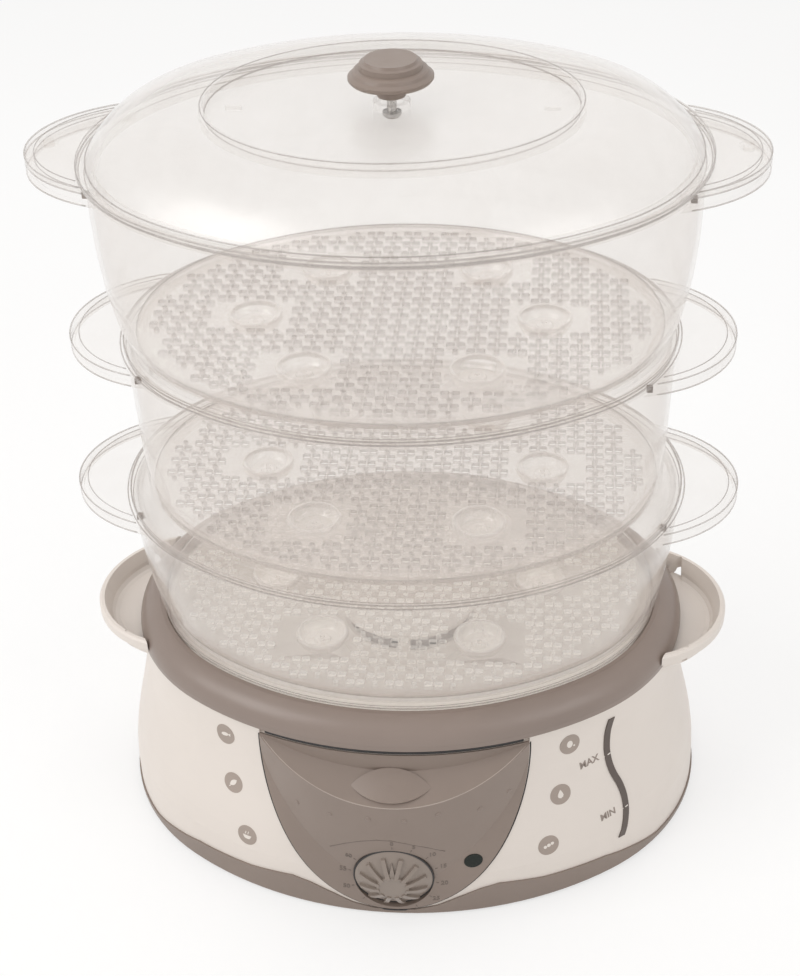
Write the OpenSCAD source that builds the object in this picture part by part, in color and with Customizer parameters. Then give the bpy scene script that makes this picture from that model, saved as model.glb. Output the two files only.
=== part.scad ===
// Electric food steamer: a heated base with side fillers, a drip tray,
// three clear stacking trays with lift-out floors, and a clear domed lid.
// X runs along the long axis, the timer faces -Y, Z is up.
// The origin is on the table under the middle of the base.

/* [Oval plan] */
// Half of what the oval is shorter across than along
plan_step = 13; // [11:0.5:15]

/* [Base] */
// Height of the housing's top edge over the table
base_h = 95; // [88:1:110]
// Half length of the housing at its foot
base_a = 143.5; // [140:0.5:150]
// Half length of the housing at its top edge
base_top_a = 131.5; // [130:0.5:134]
// Wall of the housing
base_wall = 2.5; // [2:0.1:3.2]
// Width of the ledge inside the housing that carries the tank
ledge_w = 4; // [3:0.5:5]
// Height of the housing's lower edge over the table
base_lift = 2; // [1.5:0.5:4]
// Thickness of the coloured band round the foot
skirt_t = 0.8; // [0.6:0.1:1.2]
// Height of the band's crests
skirt_h = 16; // [12:1:20]

/* [Side fillers] */
// Reach of a filler from the middle of the base
spout_tip = 155; // [150:0.5:160]
// Radius of a filler's rim
spout_r = 47; // [42:0.5:50]
// Height of a filler's rim over the table
spout_rim_z = 101; // [99:0.5:104]
// Wall of a filler
spout_wall = 3; // [2.4:0.1:4]

/* [Control panel] */
// Half width of the panel
panel_half_w = 62; // [56:1:66]
// Height of the panel's top edge over the table
panel_top_z = 90; // [86:0.5:91]
// Height of the panel's lowest point over the table
panel_low_z = 4; // [3:0.5:8]
// How far the panel's crease stands out from the housing
panel_proud = 14; // [10:0.5:16]
// Wall of the panel
panel_wall = 2.5; // [2:0.1:3]
// Radius of the timer knob
knob_r = 18.2; // [16:0.2:19]
// Gap between the knob and the edge of its recess
knob_gap = 0.8; // [0.6:0.1:1.2]
// Depth of the knob's recess
knob_sink = 3; // [2:0.5:4]
// Tilt of the knob's face towards the table
knob_tilt = 6; // [4:1:10]
// Height of the knob's centre over the table
knob_z = 24.5; // [24:0.5:27]
// Diameter of the timer's shaft
shaft_d = 6; // [5:0.5:7]
// Running clearance round the shaft
shaft_fit = 0.05; // [0.02:0.01:0.1]

/* [Water tank] */
// Height of the tank's floor over the table
tank_floor_z = 46; // [42:1:54]
// Wall of the tank
tank_wall = 2; // [1.6:0.1:2.6]
// Gap between the tank and the housing
tank_gap = 0.5; // [0.3:0.1:1]
// Diameter of the heater's plate
heater_d = 76; // [70:1:84]
// Inner diameter of the steam ring
steam_ring_d = 90; // [88:1:100]
// Height of the steam ring
steam_ring_h = 20; // [14:1:24]

/* [Drip tray] */
// Radius of the rounded collar of the drip tray
collar_r = 12; // [10:0.5:13]
// Depth of the drip tray below the top edge of the housing
drip_depth = 15; // [12:1:18]
// Wall of the drip tray
drip_wall = 2; // [1.6:0.1:2.4]
// Diameter of the steam chimney
chimney_d = 64; // [56:1:70]

/* [Trays] */
// Wall of a tray
tray_wall = 1.8; // [1.5:0.1:2.4]
// Height of the lower tray from seat to rim
lower_h = 70; // [60:1:80]
// Height of the middle tray from seat to rim
middle_h = 79.5; // [65:0.5:90]
// Height of the upper tray from seat to rim
upper_h = 84.5; // [70:0.5:95]
// Half length of the lower tray's rim
lower_rim_a = 131.5; // [130:0.5:133]
// Half length of the middle tray's rim
middle_rim_a = 126; // [125.5:0.5:128]
// Half length of the upper tray's rim
upper_rim_a = 134; // [133:0.5:135]
// Half length of the trays' feet
foot_a = 120.5; // [119:0.5:121]
// Depth to which a foot reaches into the rim below
foot_depth = 4; // [3:0.5:6]
// Gap round a foot in its seat
foot_gap = 0.5; // [0.3:0.1:0.8]
// Reach of the lower tray's ears
lower_ear = 156; // [150:1:160]
// Reach of the middle tray's ears
middle_ear = 150; // [146:1:156]
// Reach of the upper tray's and the lid's ears
upper_ear = 158.5; // [154:0.5:162]
// Half width of the ears
ear_half_w = 50; // [40:1:54]
// Height of the lip round an ear
ear_lip = 6; // [4:0.5:8]

/* [Tray floors] */
// Thickness of a floor
floor_t = 2; // [1.6:0.1:2.6]
// Width of the ledge that a floor rests on
floor_ledge = 5; // [4:0.5:7]
// Gap between a floor and its tray
floor_gap = 0.5; // [0.3:0.1:0.8]
// Length of a steam slot
slot_l = 8.5; // [6:0.5:10]
// Width of a steam slot
slot_w = 3; // [2:0.1:3.4]
// Spacing of the slots along a row
slot_pitch = 17.9; // [14:0.1:22]
// Spacing of the rows of slots
row_pitch = 10.2; // [8:0.1:14]
// Outer diameter of an egg cup
egg_d = 23.5; // [20:0.5:27]
// Depth of an egg cup
egg_depth = 6; // [4:0.5:7]

/* [Lid] */
// How far the lid's rim stands out over the upper tray's rim
lid_over = 1; // [0:0.5:3]
// Height of the lid's dome over its rim
lid_rise = 21; // [16:1:30]
// Half length of the panel sunk in the top of the lid
lid_panel_a = 81; // [70:1:90]
// Half depth of the panel sunk in the top of the lid
lid_panel_b = 67; // [58:1:74]
// Depth of the sunk panel
lid_sink = 4; // [2:0.5:5]
// Wall of the lid
lid_wall = 2; // [1.6:0.1:2.6]
// Largest radius of the lid's knob
lid_knob_r = 18; // [15:0.5:21]
// Height of the lid's knob over the sunk panel
lid_knob_h = 21; // [18:0.5:26]

/* [Hidden] */
$fn = 96;
// Larger than the whole part: for cuts that go right through
big = 400;
cream = [0.86, 0.82, 0.78];
taupe = [0.55, 0.50, 0.46];
clear = [0.88, 0.88, 0.86, 0.45];
rubber = [0.2, 0.2, 0.2];
metal = [0.72, 0.72, 0.74];

// --- the oval: two end arcs and two side arcs that meet without a corner, on 3-4-5 triangles ---
end_x = 3 * plan_step;
side_y = 4 * plan_step;
side_more = 2 * plan_step;
join_angle = atan2(4, 3);
// Scale of the 3-4-5 triangles that part the arcs, large enough to reach past every wall
wedge = 100;

// Half depth of the oval whose half length is a
function half_depth(a) = a - side_more;

// Sweeps a profile round the oval: x is the half length along X, y is the height
module oval_sweep() {
    for (side = [-1, 1]) {
        intersection() {
            translate([side * end_x, 0, 0]) rotate_extrude() translate([-end_x, 0]) children();
            translate([0, 0, -1]) linear_extrude(big)
                polygon([
                    [side * end_x, 0], [side * (end_x + 3 * wedge), 4 * wedge], [side * 9 * wedge, 0],
                    [side * (end_x + 3 * wedge), -4 * wedge]]);
        }
        intersection() {
            translate([0, -side * side_y, 0]) rotate_extrude() translate([side_more, 0]) children();
            translate([0, 0, -1]) linear_extrude(big)
                polygon([
                    [0, -side * side_y], [end_x + 3 * wedge, side * 4 * wedge],
                    [-end_x - 3 * wedge, side * 4 * wedge]]);
        }
    }
}

// Flat oval of half length a
module oval(a) {
    end_r = a - end_x;
    for (side = [-1, 1]) translate([side * end_x, 0]) circle(r = end_r);
    intersection() {
        translate([0, side_y]) circle(r = a + side_more);
        translate([0, -side_y]) circle(r = a + side_more);
        square([2 * (end_x + end_r * cos(join_angle)), big], center = true);
    }
}

// Oval slab from height z0 to z1
module oval_slab(a, z0, z1) {
    translate([0, 0, z0]) linear_extrude(z1 - z0) oval(a);
}

// --- heights of the stack ---
ledge_z = base_h - 3;
tank_flange_t = 2;
spout_floor_z = base_h - 4;
collar_out = base_top_a + 2;
collar_in = collar_out - collar_r;
seat_z = base_h + collar_r - foot_depth;
lower_top = seat_z + lower_h;
middle_top = lower_top + middle_h;
upper_top = middle_top + upper_h;
drip_floor_z = base_h - drip_depth;
lid_flange_t = 2.5;
lid_panel_z = upper_top + lid_flange_t + lid_rise;

// --- outer wall of the housing: a soft S from the foot to the top ---
flare_z0 = 14;
flare_z1 = base_h - 7;
function ease(t) = t <= 0 ? 0 : t >= 1 ? 1 : t * t * (3 - 2 * t);
function flare_a(z) = base_a + (base_top_a - base_a) * ease((z - flare_z0) / (flare_z1 - flare_z0));
flare_step = (flare_z1 - flare_z0) / 8;
wall_levels = concat([0], [for (i = [0:8]) flare_z0 + i * flare_step], [base_h]);
wall_table = [for (z = wall_levels) [z, flare_a(z)]];
function wall_a(z) = lookup(z, wall_table);
function wall_run(z0, z1) = concat([z0], [for (z = wall_levels) if (z > z0 + 0.1 && z < z1 - 0.1) z], [z1]);
function back(list) = [for (i = [len(list) - 1:-1:0]) list[i]];

// Profile of a layer on the housing's wall, from offset d0 out to d1
module wall_layer(d0, d1, z0, z1) {
    levels = wall_run(z0, z1);
    polygon(concat([for (z = levels) [wall_a(z) + d1, z]], [for (z = back(levels)) [wall_a(z) + d0, z]]));
}

// Points of an arc round [x, z], from one angle to another
function arc(x, z, r, from, to, n) =
    [for (i = [0:n]) let(t = from + (to - from) * i / n) [x + r * cos(t), z + r * sin(t)]];

// --- side fillers: round shallow dishes, half hidden in the base ---
spout_x = spout_tip - spout_r;
spout_taper = 2;
spout_round = 6;
spout_low_z = spout_floor_z - spout_wall;
spout_lip_h = 5;
spout_lip_t = 0.8;
module filler_outside() {
    wall_r = spout_r - spout_lip_t;
    lip_z = spout_rim_z - spout_lip_h;
    translate([spout_x, 0, 0]) rotate_extrude() polygon(concat(
        [[0, spout_low_z]],
        arc(wall_r - spout_taper - spout_round, spout_low_z + spout_round, spout_round, -90, 0, 4),
        [[wall_r, lip_z - spout_lip_t], [spout_r, lip_z], [spout_r, spout_rim_z - 1],
         [spout_r - 1, spout_rim_z], [0, spout_rim_z]]));
}
module filler_inside() {
    wall_r = spout_r - spout_wall;
    inner_round = spout_round - spout_wall + 1;
    translate([spout_x, 0, 0]) rotate_extrude() polygon(concat(
        [[0, spout_floor_z]],
        arc(wall_r - spout_taper - inner_round, spout_floor_z + inner_round, inner_round, -90, 0, 3),
        [[wall_r, spout_rim_z - 1], [wall_r + 0.8, spout_rim_z + 1], [0, spout_rim_z + 1]]));
}
notch_half_w = 36;
notch_in = 18;
notch_out = 4;
notch_h = 20;
// Way for the water from a filler into the tank
module water_way() {
    translate([base_top_a - notch_in, -notch_half_w, spout_floor_z])
        cube([notch_in + notch_out, 2 * notch_half_w, notch_h]);
}

// --- frame of the timer: local +Z leaves the panel's face ---
crease_z = panel_top_z - 18.5;
crease_y = -half_depth(wall_a(crease_z)) - panel_proud;
low_y = -half_depth(wall_a(panel_low_z));
face_t = (knob_z - panel_low_z) / (crease_z - panel_low_z);
knob_y = low_y + (crease_y - low_y) * face_t;
module timer_frame() {
    translate([0, knob_y, knob_z]) rotate([90 + knob_tilt, 0, 0]) children();
}
recess_r = knob_r + knob_gap;
cup_wall = 1.6;
cup_r = recess_r + cup_wall;
cup_t = 2;
// The knob's cup reaches through the wall in a round hole, a little wider than the cup
cup_hole_r = cup_r + 0.3;
cup_hole_in = 30;
cup_hole_out = 10;
shaft_bore = shaft_d + 2 * shaft_fit;

// --- fasteners and feet ---
boss_r = 5;
boss_top = 26;
screw_d = 3.5;
screw_head_d = 7;
screw_sink = 1;
screw_l = 14;
boss_out = base_a - end_x - base_wall - boss_r + 0.6;
boss_x = end_x + boss_out * cos(join_angle);
boss_y = boss_out * sin(join_angle);
foot_d = 16;
foot_x = 84;
foot_y = 62;
plate_t = 2.5;
plate_z = base_lift;
foot_sink = 1;
gland_z = 20;
gland_d = 12;
gland_bore = 7;
gland_lip = 3.4;
// The wall leans out below the gland by this much
gland_seat = 0.36;
lamp_x = 37;
lamp_z = 32;
lamp_w = 8.6;
lamp_h = 7.2;
lamp_hole_y = -90;
lamp_hole_l = 50;
// Upright oval prism through the wall where the lamp sits
module lamp_prism(d) {
    translate([lamp_x, lamp_hole_y, lamp_z]) rotate([90, 0, 0]) linear_extrude(lamp_hole_l)
        scale([1, (lamp_h + d) / (lamp_w + d)]) circle(d = lamp_w + d, $fn = 48);
}

module at_bosses() {
    for (sx = [-1, 1], sy = [-1, 1]) translate([sx * boss_x, sy * boss_y, 0]) children();
}

groove_t = 1.2;
groove_h = 1.8;
module housing() color(cream) {
    inner_top = base_top_a - base_wall;
    difference() {
        union() {
            oval_sweep() difference() {
                wall_layer(-base_wall - ledge_w, 0, base_lift, base_h);
                translate([inner_top - big, ledge_z]) square([big, big]);
                polygon(concat(
                    [for (z = wall_run(base_lift - 1, ledge_z - 6)) [wall_a(z) - base_wall, z]],
                    [[inner_top - ledge_w, ledge_z - 2], [0, ledge_z - 2], [0, base_lift - 1]]));
            }
            for (turn = [0, 180]) rotate([0, 0, turn]) difference() {
                filler_outside();
                oval_slab(wall_a(spout_floor_z) - 1, 0, base_h);
                oval_slab(collar_out + foot_gap, base_h - 1.5, base_h + 20);
            }
            intersection() {
                at_bosses() translate([0, 0, plate_z + plate_t])
                    cylinder(r = boss_r, h = boss_top - plate_z - plate_t);
                oval_slab(wall_a(boss_top) - 0.2, 0, boss_top);
            }
        }
        for (turn = [0, 180]) rotate([0, 0, turn]) {
            filler_inside();
            water_way();
        }
        at_bosses() cylinder(d = screw_d - 0.5, h = boss_top - 4);
        // the knob's recess and the timer reach in through the front wall
        timer_frame() translate([0, 0, -cup_hole_in]) cylinder(r = cup_hole_r, h = cup_hole_in + cup_hole_out);
        lamp_prism(0);
        // shadow line over the panel
        intersection() {
            oval_sweep() wall_layer(-groove_t, 1, panel_top_z, panel_top_z + groove_h);
            translate([-panel_half_w, -big, 0]) cube([2 * panel_half_w, big, big]);
        }
        // cord outlet
        translate([0, 0, gland_z]) rotate([-90, 0, 0]) cylinder(d = gland_d, h = big);
    }
}

// --- coloured band round the foot, with a wave that dips under the panel ---
wave_dip = 3.5;
wave_shelf = 12.8;
wave_end = 160;
// Upper edge of the band's right half, as seen from the front
wave_line = [
    [0, wave_dip], [10, wave_dip + 0.4], [20, wave_dip + 2.6], [30, wave_dip + 7], [40, skirt_h - 1.6],
    [49, skirt_h], [58, skirt_h - 1], [70, wave_shelf + 0.6], [84, wave_shelf], [98, wave_shelf - 1],
    [112, wave_shelf - 4.5], [124, wave_shelf - 8.5], [136, wave_dip], [wave_end, wave_dip]
];
module skirt() color(taupe) {
    difference() {
        oval_sweep() wall_layer(0, skirt_t, base_lift - 0.5, skirt_h + 1);
        rotate([90, 0, 0]) translate([0, 0, -big / 2]) linear_extrude(big)
            for (side = [0, 1]) mirror([side, 0])
                polygon(concat(wave_line, [[wave_end, 2 * skirt_h], [0, 2 * skirt_h]]));
    }
}

plate_gap = 0.3;
air_slot_w = 3;
air_slot_l = 46;
air_slot_pitch = 9;
module bottom_plate() color(cream) {
    difference() {
        oval_slab(base_a - base_wall - plate_gap, plate_z, plate_z + plate_t);
        at_bosses() {
            translate([0, 0, -1]) cylinder(d = screw_d, h = big);
            translate([0, 0, plate_z - 1]) cylinder(d = screw_head_d + 0.4, h = 1 + screw_sink);
        }
        for (sx = [-1, 1], sy = [-1, 1]) translate([sx * foot_x, sy * foot_y, plate_z - 1])
            cylinder(d = foot_d, h = 1 + foot_sink);
        for (i = [-4:4]) translate([i * air_slot_pitch, 0, plate_z])
            cube([air_slot_w, air_slot_l, 3 * plate_t], center = true);
    }
}

module foot(sx, sy) color(rubber) {
    foot_top = plate_z + foot_sink;
    foot_edge = 1.5;
    translate([sx * foot_x, sy * foot_y, 0]) rotate_extrude() polygon([
        [0, 0], [foot_d / 2 - foot_edge, 0], [foot_d / 2, foot_edge], [foot_d / 2, foot_top], [0, foot_top]]);
}
module foot_front_left() { foot(-1, -1); }
module foot_front_right() { foot(1, -1); }
module foot_back_left() { foot(-1, 1); }
module foot_back_right() { foot(1, 1); }

module bottom_screws() color(metal) {
    at_bosses() translate([0, 0, plate_z]) difference() {
        union() {
            cylinder(d = screw_head_d, h = screw_sink);
            translate([0, 0, screw_sink]) cylinder(d = screw_d - 0.5, h = screw_l);
        }
        for (turn = [0, 90]) rotate([0, 0, turn]) cube([4, 0.9, 0.8], center = true);
    }
}

// --- control panel: a shield on the wall, drawn out to a crease like a prow ---
shield_z = 86;
module shield_plan(d) {
    rx = panel_half_w + d;
    rz = shield_z - panel_low_z + d;
    translate([0, shield_z]) intersection() {
        scale([1, rz / rx]) circle(r = rx, $fn = 64);
        translate([-big, -big]) square([2 * big, big]);
    }
    translate([-rx, shield_z - 0.01]) square([2 * rx, panel_top_z - shield_z + d + 0.01]);
}
module shield_prism(d) {
    rotate([90, 0, 0]) linear_extrude(big) shield_plan(d);
}
panel_skin = 0.8;
corner_y = side_y - sqrt(pow(base_top_a + side_more, 2) - panel_half_w * panel_half_w) - panel_skin;
prow_sag = corner_y - crease_y;
prow_r = (panel_half_w * panel_half_w + prow_sag * prow_sag) / (2 * prow_sag);
face_tilt = atan2(low_y - crease_y, crease_z - panel_low_z);
shelf_tilt = atan2(panel_top_z - crease_z, prow_sag);
// The part of the panel that stands out: an upright barrel cut off by the sloping shelf,
// whose edge is the crease that runs up to the panel's two top corners
module prow(d) {
    intersection() {
        shield_prism(d);
        translate([0, crease_y, crease_z]) rotate([face_tilt, 0, 0]) translate([0, prow_r, -big / 2])
            cylinder(r = prow_r + d, h = big, $fn = 128);
        translate([0, crease_y, crease_z]) rotate([shelf_tilt, 0, 0]) translate([-big / 2, -big / 2, d - big])
            cube(big);
    }
}
module panel_form(d) {
    prow(d);
    intersection() {
        oval_sweep() wall_layer(-1, panel_skin + d, panel_low_z - 1, panel_top_z + 1);
        shield_prism(d);
    }
}
// Everything behind the outer face of the housing's wall
module housing_core() {
    core_depth = 40;
    oval_sweep() wall_layer(-core_depth, 0, 0, base_h);
    oval_slab(base_top_a - core_depth / 2, 0, base_h);
}
thumb_half_w = 18.5;
thumb_half_h = 8.2;
thumb_r = (thumb_half_w * thumb_half_w + thumb_half_h * thumb_half_h) / (2 * thumb_half_h);
thumb_up = thumb_half_h + 2;
thumb_dome = 75;
thumb_rise = 2.2;
thumb_root = 2;
// Almond-shaped swelling in the middle of the shelf
module thumb_rest() {
    translate([0, crease_y, crease_z]) rotate([shelf_tilt, 0, 0]) translate([0, thumb_up, 0]) intersection() {
        translate([0, thumb_r - thumb_half_h, -thumb_root]) cylinder(r = thumb_r, h = 3 * thumb_root);
        translate([0, thumb_half_h - thumb_r, -thumb_root]) cylinder(r = thumb_r, h = 3 * thumb_root);
        translate([0, 0, thumb_rise - thumb_dome]) sphere(r = thumb_dome);
    }
}
module panel() color(taupe) {
    difference() {
        union() {
            difference() {
                panel_form(0);
                prow(-panel_wall);
            }
            intersection() {
                panel_form(0);
                timer_frame() translate([0, 0, -knob_sink - cup_t]) cylinder(r = cup_r, h = 20);
            }
            thumb_rest();
        }
        difference() {
            housing_core();
            timer_frame() translate([0, 0, -cup_hole_in]) cylinder(r = cup_r, h = cup_hole_in + cup_hole_out);
        }
        timer_frame() {
            translate([0, 0, -knob_sink]) cylinder(r = recess_r, h = big);
            translate([0, 0, -cup_hole_in]) cylinder(d = shaft_bore, h = big);
        }
        lamp_prism(0);
    }
}

// --- timer: a works with a round neck that bears on the back of the knob's cup ---
unit_w = 42;
unit_h = 28;
unit_t = 17;
unit_neck_r = 14;
unit_neck_l = 7;
bell_d = 26;
bell_t = 4;
shaft_in = 16;
shaft_out = 2;
unit_front = -knob_sink - cup_t;
module timer_unit() color(cream) {
    works_front = unit_front - unit_neck_l;
    timer_frame() difference() {
        union() {
            translate([0, 0, works_front - 0.5]) cylinder(r = unit_neck_r, h = unit_neck_l + 0.5);
            translate([-unit_w / 2, -unit_h / 2, works_front - unit_t]) cube([unit_w, unit_h, unit_t]);
            translate([0, 0, works_front - unit_t - bell_t]) cylinder(d = bell_d, h = bell_t + 0.5);
        }
        translate([0, 0, unit_front - shaft_in - 1]) cylinder(d = shaft_bore, h = big);
    }
}
module timer_shaft() color(metal) {
    timer_frame() translate([0, 0, unit_front - shaft_in])
        cylinder(d = shaft_d, h = shaft_in - unit_front + shaft_out);
}
knob_rise = 7.6;
knob_dome = (knob_r * knob_r + (knob_rise - 1) * (knob_rise - 1)) / (2 * (knob_rise - 1));
hub_r = 7.5;
ridge_w = 2;
ridge_h = 1.5;
ridge_n = 12;
module knob_cap(lift) {
    intersection() {
        translate([0, 0, lift + knob_rise - knob_dome - knob_sink + 1]) sphere(r = knob_dome);
        translate([0, 0, -knob_sink + 0.4]) cylinder(r = knob_r, h = 3 * knob_rise);
    }
}
module timer_knob() color(taupe) {
    timer_frame() difference() {
        union() {
            knob_cap(0);
            intersection() {
                knob_cap(ridge_h);
                for (i = [0:ridge_n - 1]) rotate([0, 0, (i + 0.5) * 360 / ridge_n])
                    translate([-ridge_w / 2, hub_r - 1, -knob_sink + 0.4])
                        cube([ridge_w, knob_r - hub_r - 1, 3 * knob_rise]);
            }
            intersection() {
                knob_cap(ridge_h * 0.6);
                linear_extrude(3 * knob_rise) polygon([[-1.6, hub_r], [1.6, hub_r], [0, knob_r - 4]]);
            }
            translate([0, 0, -knob_sink + 0.4]) cylinder(r = hub_r, h = knob_rise + 0.8);
        }
        translate([0, 0, -knob_sink]) cylinder(d = shaft_d, h = knob_sink + shaft_out);
    }
}
module lamp_lens() color([0.12, 0.16, 0.13]) {
    intersection() {
        oval_sweep() wall_layer(-base_wall, panel_skin + 0.3, lamp_z - lamp_h, lamp_z + lamp_h);
        lamp_prism(-0.1);
    }
}
module lamp_bulb() color([0.9, 0.6, 0.3]) {
    bulb_d = 5;
    bulb_l = 8;
    bulb_a = wall_a(lamp_z) - base_wall;
    bulb_y = side_y - sqrt(pow(bulb_a + side_more, 2) - pow(lamp_x + lamp_w / 2, 2)) + 0.3;
    translate([lamp_x, bulb_y, lamp_z]) rotate([-90, 0, 0]) cylinder(d = bulb_d, h = bulb_l);
}

// --- water gauge: a narrow wavy window on the front right of the housing ---
gauge_z0 = 19;
gauge_z1 = 85;
gauge_w = 3.4;
gauge_sway = 3.6;
gauge_half = (gauge_z1 - gauge_z0) / 2;
gauge_r = (gauge_half * gauge_half / 4 + gauge_sway * gauge_sway) / (2 * gauge_sway);
// How far the window's middle lies to the right of the middle of the wall's quarter turn
gauge_off = end_x * 0.8 + 6.1;
module gauge_plan() {
    for (side = [-1, 1]) translate([0, (gauge_z0 + gauge_z1 + side * gauge_half) / 2]) intersection() {
        translate([side * (gauge_r - gauge_sway), 0]) difference() {
            circle(r = gauge_r + gauge_w / 2);
            circle(r = gauge_r - gauge_w / 2);
        }
        square([4 * (gauge_sway + gauge_w), gauge_half], center = true);
    }
}
module gauge_window() color([0.3, 0.27, 0.25]) {
    intersection() {
        oval_sweep() wall_layer(0, 0.5, gauge_z0 - 1, gauge_z1 + 1);
        rotate([90, 0, 90 - join_angle]) translate([gauge_off, 0, 0]) linear_extrude(big) gauge_plan();
    }
}

module cord_gland() color(rubber) {
    wall_y = half_depth(wall_a(gland_z));
    gland_in = base_wall + 5;
    nut_back = base_wall + 4;
    translate([0, wall_y, gland_z]) rotate([-90, 0, 0]) difference() {
        union() {
            translate([0, 0, -gland_in]) cylinder(d = gland_d - 0.2, h = gland_in + 1);
            translate([0, 0, gland_seat]) cylinder(d = gland_d + 5, h = 1.2);
            translate([0, 0, gland_seat]) cylinder(d1 = gland_d + 3, d2 = gland_d, h = gland_lip - gland_seat);
            translate([0, 0, -nut_back]) cylinder(d = gland_d + 4, h = 2.4);
        }
        translate([0, 0, -gland_in - 1]) cylinder(d = gland_bore, h = gland_in + gland_lip + 2);
    }
}

// --- water tank ---
tank_out = base_top_a - base_wall - ledge_w - tank_gap;
tank_low = tank_out - 6;
tank_rim = base_top_a - base_wall - tank_gap;
tank_top_z = ledge_z + tank_flange_t;
tank_belly_z = tank_floor_z + 20;
module water_tank() color(cream) {
    difference() {
        union() {
            oval_sweep() polygon([
                [tank_low - tank_wall, tank_floor_z - tank_wall], [tank_low, tank_floor_z - tank_wall],
                [tank_out, tank_belly_z], [tank_out, ledge_z], [tank_rim, ledge_z], [tank_rim, tank_top_z],
                [tank_out - tank_wall, tank_top_z], [tank_out - tank_wall, tank_belly_z],
                [tank_low - tank_wall, tank_floor_z]]);
            oval_slab(tank_low - tank_wall + 0.5, tank_floor_z - tank_wall, tank_floor_z);
        }
        for (turn = [0, 180]) rotate([0, 0, turn]) water_way();
        cylinder(d = heater_neck_d + 0.6, h = big);
    }
}
heater_neck_d = 60;
heater_neck_l = 5;
pin_d = 4;
pin_x = 8;
pin_l = 8;
seal_t = 1;
heater_t = 2;
heater_z = tank_floor_z + seal_t;
heater_back_z = tank_floor_z - tank_wall - heater_neck_l;
coil_r = 24;
coil_d = 8;
module heater() color(metal) {
    translate([0, 0, heater_z]) {
        cylinder(d = heater_d, h = heater_t);
        rotate_extrude() translate([coil_r, heater_t + coil_d / 2 - 1]) circle(d = coil_d, $fn = 32);
        translate([0, 0, heater_back_z - heater_z])
            cylinder(d = heater_neck_d, h = heater_z - heater_back_z + 0.5);
        for (side = [-1, 1]) translate([side * pin_x, 0, heater_back_z - heater_z + 1 - pin_l])
            cylinder(d = pin_d, h = pin_l);
    }
}
module heater_seal() color(rubber) {
    translate([0, 0, tank_floor_z]) difference() {
        cylinder(d = heater_d - 2, h = seal_t);
        translate([0, 0, -1]) cylinder(d = heater_neck_d + 0.6, h = seal_t + 2);
    }
}
module thermal_cutout() color([0.25, 0.25, 0.27]) {
    cutout_d = 16;
    cutout_t = 8;
    translate([0, heater_neck_d * 0.3, heater_back_z - cutout_t]) cylinder(d = cutout_d, h = cutout_t);
}
module steam_ring() color(cream) {
    ring_r = steam_ring_d / 2;
    ring_t = 1.6;
    brim = 5;
    arch_r = 5;
    difference() {
        rotate_extrude() translate([ring_r, tank_floor_z]) polygon([
            [0, 0], [ring_t, 0], [ring_t, steam_ring_h], [-brim, steam_ring_h], [-brim, steam_ring_h - ring_t],
            [0, steam_ring_h - ring_t]]);
        // arches round the foot let the water in
        for (i = [0:5]) rotate([0, 0, i * 60 + 30]) translate([ring_r - 4, 0, tank_floor_z]) rotate([0, 90, 0])
            cylinder(r = arch_r, h = 8);
    }
}

// --- drip tray: a rounded collar that seats the lower tray, with a pan snapped in from below ---
drip_in = foot_a - 2;
collar_lip = 1.5;
pan_hook = 2.5;
pan_hook_t = 1.8;
chimney_h = 10;
chimney_bore = chimney_d - 2 * drip_wall;
cap_z = seat_z - 4;
cap_over = 2;
module collar() color(taupe) {
    oval_sweep() {
        difference() {
            translate([collar_in, base_h]) intersection() {
                circle(r = collar_r);
                square(collar_r + 1);
            }
            translate([collar_in, base_h + drip_wall]) intersection() {
                circle(r = collar_r - drip_wall);
                square(collar_r);
            }
        }
        translate([base_top_a + foot_gap, base_h - collar_lip])
            square([collar_out - base_top_a - foot_gap, collar_lip + 1]);
        translate([drip_in + 0.1, seat_z - drip_wall]) square([collar_in + drip_wall - drip_in + 1, drip_wall]);
        translate([foot_a + foot_gap, seat_z - 1]) square([drip_wall, foot_depth + 1]);
    }
}
module drip_tray() color(cream) {
    difference() {
        union() {
            oval_sweep() {
                translate([drip_in - drip_wall, drip_floor_z]) square([drip_wall, seat_z - drip_floor_z]);
                translate([drip_in - 1, seat_z - drip_wall - pan_hook_t]) square([pan_hook + 1, pan_hook_t]);
            }
            oval_slab(drip_in - 0.5, drip_floor_z - drip_wall, drip_floor_z);
        }
        cylinder(d = chimney_bore, h = big);
    }
}
// Tube that lets the steam up through the pan, on a flange welded round the pan's hole
module chimney() color(cream) {
    foot_w = 3;
    foot_t = 1.5;
    translate([0, 0, drip_floor_z]) difference() {
        union() {
            cylinder(d = chimney_d, h = chimney_h);
            cylinder(d = chimney_d + 2 * foot_w, h = foot_t);
        }
        translate([0, 0, -1]) cylinder(d = chimney_bore, h = chimney_h + 2);
    }
}
// Cap over the chimney: its four legs stand on the chimney's rim and reach a little way into it
module steam_cap() color(cream) {
    leg_w = 6;
    leg_in = 4;
    rim_z = drip_floor_z + chimney_h;
    translate([0, 0, cap_z]) cylinder(d = chimney_d + 2 * cap_over, h = drip_wall);
    for (i = [0:3]) rotate([0, 0, i * 90]) translate([chimney_bore / 2 - drip_wall, -leg_w / 2, 0]) {
        translate([0, 0, rim_z]) cube([2 * drip_wall, leg_w, cap_z - rim_z + 0.5]);
        translate([0, 0, rim_z - leg_in]) cube([drip_wall - 0.3, leg_w, leg_in + 1]);
    }
}

// --- trays ---
ear_x = 98;
module ear_plan(tip, d) {
    rx = tip - ear_x + d;
    translate([ear_x, 0]) scale([1, (ear_half_w + d) / rx]) circle(r = rx, $fn = 64);
}
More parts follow.
